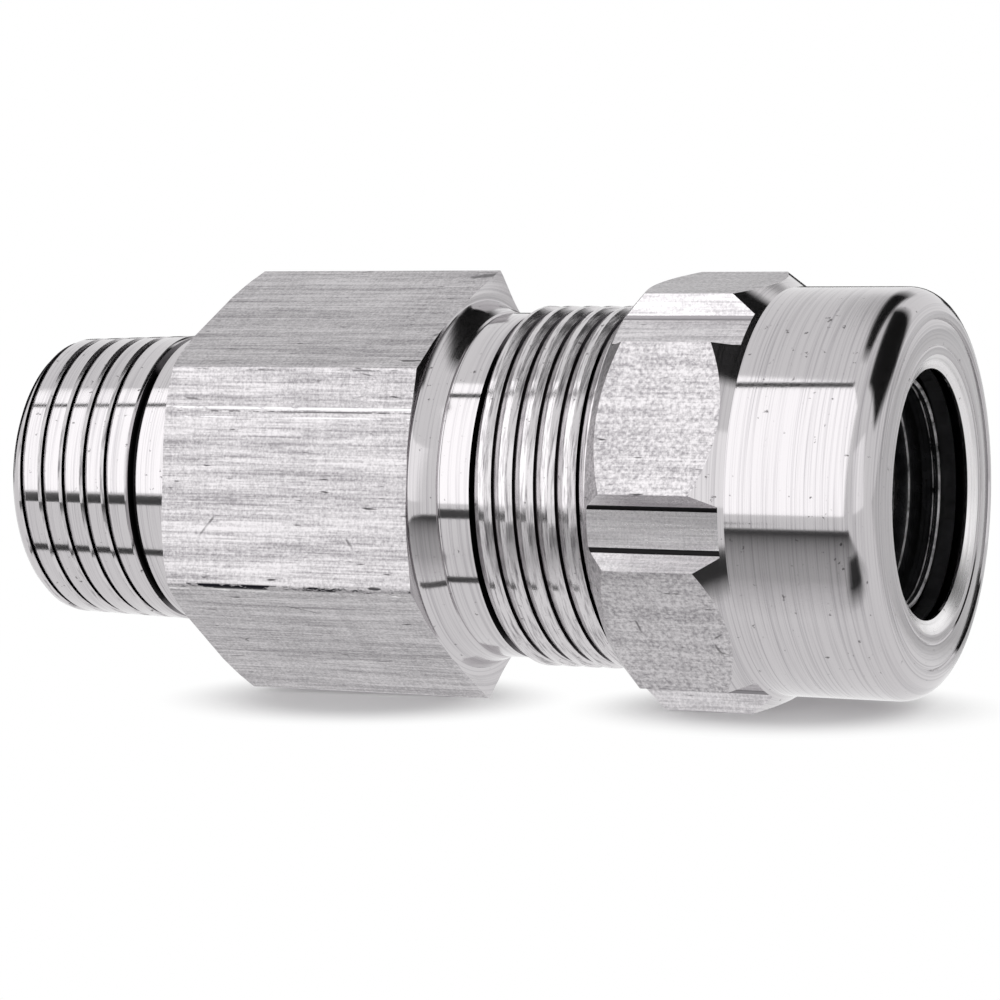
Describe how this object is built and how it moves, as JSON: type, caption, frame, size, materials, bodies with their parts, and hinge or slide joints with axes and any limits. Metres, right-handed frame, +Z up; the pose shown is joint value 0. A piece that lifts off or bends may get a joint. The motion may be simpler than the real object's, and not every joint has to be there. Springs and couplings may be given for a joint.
{
  "type": "liquidtight cable connector",
  "caption": "Straight aluminium gland connector for a jacketed metal-clad cable: tapered pipe thread, wrench hexagon, and a gland nut that squeezes a rubber bushing.",
  "frame": {"origin": "middle of the underside of the bounding box, below the connector's axis", "axes": "+X along the axis from the pipe thread to the gland nut's face, +Z up"},
  "size_m": [0.0686, 0.031, 0.0305],
  "materials": {
    "aluminium_body": "satin",
    "aluminium_nut": "satin",
    "black_nylon": "satin",
    "black_rubber": "matte",
    "stainless_steel": "satin",
    "natural_nylon": "matte"
  },
  "bodies": {
    "body": {"body": "aluminium_body", "sealing_bushing": "black_rubber", "grounding_ring": "stainless_steel", "end_stop": "natural_nylon"},
    "washer": {"slip_washer": "black_nylon"},
    "nut": {"gland_nut": "aluminium_nut"}
  },
  "joints": [
    {"name": "nut_travel", "type": "slide", "parent": "body", "child": "washer", "axis": [1, 0, 0], "range_m": [0, 0.00476]},
    {"name": "nut_turn", "type": "hinge", "parent": "washer", "child": "nut", "pos_m": [0, 0, 0.01525], "axis": [1, 0, 0], "range_deg": [0, 1080]}
  ],
  "couplings": [
    {"joint": "nut_travel", "follows": "nut_turn", "m_per_rad": 0.00025266}
  ]
}
